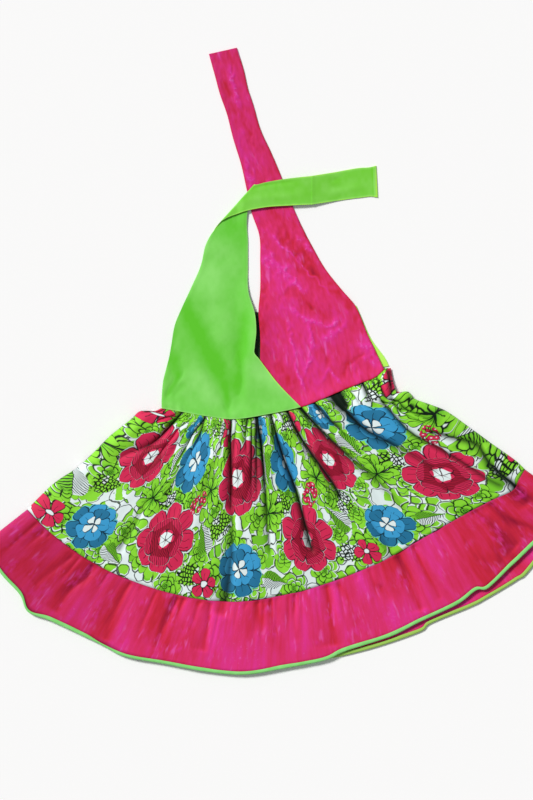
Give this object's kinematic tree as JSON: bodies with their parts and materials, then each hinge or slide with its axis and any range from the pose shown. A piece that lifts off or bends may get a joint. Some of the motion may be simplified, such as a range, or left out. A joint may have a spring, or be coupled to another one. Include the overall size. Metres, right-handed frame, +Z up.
{
  "type": "ankara wax print halter dress, child size, laid flat",
  "caption": "Child's halter dress laid flat: wrap-over bodice in two plain colours with long neck straps, gathered floral wax print skirt and a deep plain hem band.",
  "frame": {"origin": "on the surface that the dress lies on, at the middle of its width, 20 mm below the back waist seam", "axes": "+X towards the wearer's left side, +Y from the skirt up to the neck straps, +Z up from the surface"},
  "size_m": [0.7151, 0.7516, 0.0105],
  "materials": {
    "lime_cotton": "plain woven lime cotton, soft matt with a faint sheen",
    "pink_shot_cloth": "crisp crimson pink cloth with a magenta shot sheen",
    "wax_print": "wax printed cotton, flowers in lime, crimson and blue with fine dark lines on white",
    "green_binding": "narrow bias binding in pale green cotton"
  },
  "bodies": {
    "root": {"bodice_front_green": "lime_cotton", "strap_extension_green": "lime_cotton", "bodice_back": "lime_cotton", "bodice_front_pink": "pink_shot_cloth", "skirt_front": "wax_print", "skirt_back": "wax_print", "hem_band_front": "pink_shot_cloth", "hem_band_back": "pink_shot_cloth", "hem_binding_front": "green_binding", "hem_binding_back": "green_binding"}
  },
  "joints": []
}
